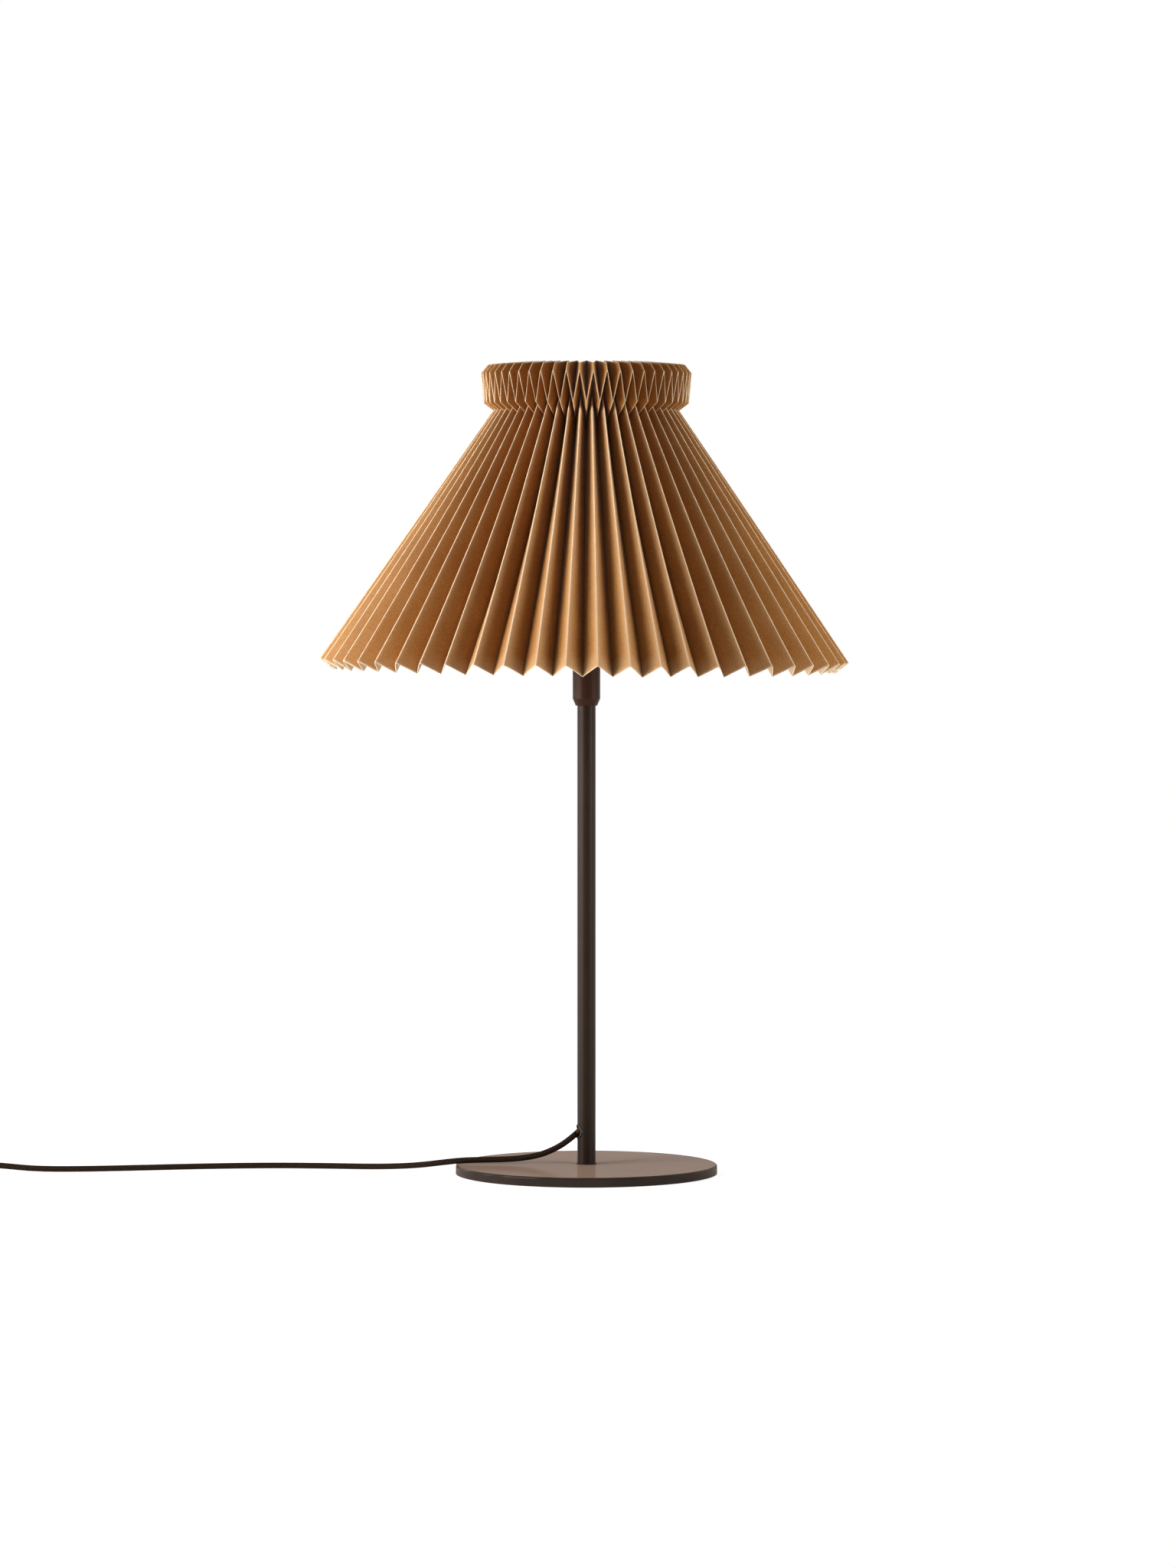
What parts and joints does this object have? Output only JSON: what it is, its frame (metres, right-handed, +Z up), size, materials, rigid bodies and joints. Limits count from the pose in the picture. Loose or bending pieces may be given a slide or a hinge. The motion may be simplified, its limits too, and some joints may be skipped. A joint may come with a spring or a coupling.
{
  "type": "table lamp",
  "caption": "Table lamp with a flared pleated paper shade and folded-back collar on a slim metal stem and flat round base, with a textile cord, inline switch and flat plug.",
  "frame": {"origin": "centre of the base pad's underside, on the surface the lamp stands on", "axes": "+Z up along the stem; the cord leaves the stem towards -X; -Y faces the viewer"},
  "size_m": [0.9135, 0.4604, 0.7073],
  "materials": {
    "base_coat": "fine satin powder coat",
    "brown_coat": "satin powder coat",
    "kraft_paper": "matte pleated paper with pale worn folds",
    "pad_foam": "matte foam",
    "black_fibre": "matte",
    "zinc_steel": "zinc plated",
    "black_plastic": "fine matte",
    "outlet_plastic": "semi-gloss",
    "core_plastic": "semi-gloss",
    "rocker_plastic": "gloss",
    "black_rubber": "matte",
    "brass": "plain",
    "bulb_metal": "plain",
    "pin_metal": "nickel plated",
    "wire_coat": "satin",
    "opal_glass": "opal",
    "textile_cord": "braided textile",
    "lead_insulation": "matte"
  },
  "bodies": {
    "lamp": {"base_plate": "base_coat", "stem_tube": "brown_coat", "holder_cup": "brown_coat", "cord_grommet": "outlet_plastic", "base_pad": "pad_foam", "foot_washer": "black_fibre", "lock_washer": "zinc_steel", "base_screw": "zinc_steel", "foot_bush": "zinc_steel", "top_bush": "zinc_steel", "holder_nipple": "zinc_steel", "holder_nut": "zinc_steel", "cord_anchor": "black_plastic", "holder_core": "core_plastic", "holder_sleeve": "black_plastic", "shade_ring_nut": "black_plastic", "terminal_screw_left": "brass", "terminal_screw_right": "brass", "screw_shell": "brass", "centre_contact": "brass", "carrier_hub": "wire_coat", "carrier_ring": "wire_coat", "carrier_leg_1": "wire_coat", "carrier_leg_2": "wire_coat", "carrier_leg_3": "wire_coat", "cord_in_stem": "textile_cord", "cord_run": "textile_cord", "cord_lead": "textile_cord", "cord_coil": "textile_cord", "cord_tail": "textile_cord", "conductor_left": "lead_insulation", "conductor_right": "lead_insulation", "switch_floor": "black_plastic", "switch_cover": "black_plastic", "rocker_pin": "zinc_steel", "switch_contact_front": "brass", "switch_contact_back": "brass", "plug_body": "black_plastic", "plug_relief": "black_rubber", "plug_pin_front": "pin_metal", "plug_pin_back": "pin_metal"},
    "shade": {"paper_shade": "kraft_paper"},
    "bulb_screw": {"bulb_cap": "bulb_metal", "bulb_contact": "brass"},
    "bulb": {"bulb_globe": "opal_glass"},
    "rocker": {"switch_rocker": "rocker_plastic"}
  },
  "joints": [
    {"name": "shade_lift", "type": "slide", "parent": "lamp", "child": "shade", "axis": [0, 0, 1], "range_m": [0, 0.21]},
    {"name": "bulb_rise", "type": "slide", "parent": "lamp", "child": "bulb_screw", "axis": [0, 0, 1], "range_m": [0, 0.0099]},
    {"name": "bulb_turn", "type": "hinge", "parent": "bulb_screw", "child": "bulb", "pos_m": [0, 0, 0.4983], "axis": [0, 0, 1], "range_deg": [0, 1260]},
    {"name": "rocker_press", "type": "hinge", "parent": "lamp", "child": "rocker", "pos_m": [-0.56, 0.007, 0.012], "axis": [0, 1, 0], "range_deg": [0, 14]}
  ],
  "couplings": [
    {"joint": "bulb_rise", "follows": "bulb_turn", "m_per_rad": 0.000449}
  ]
}
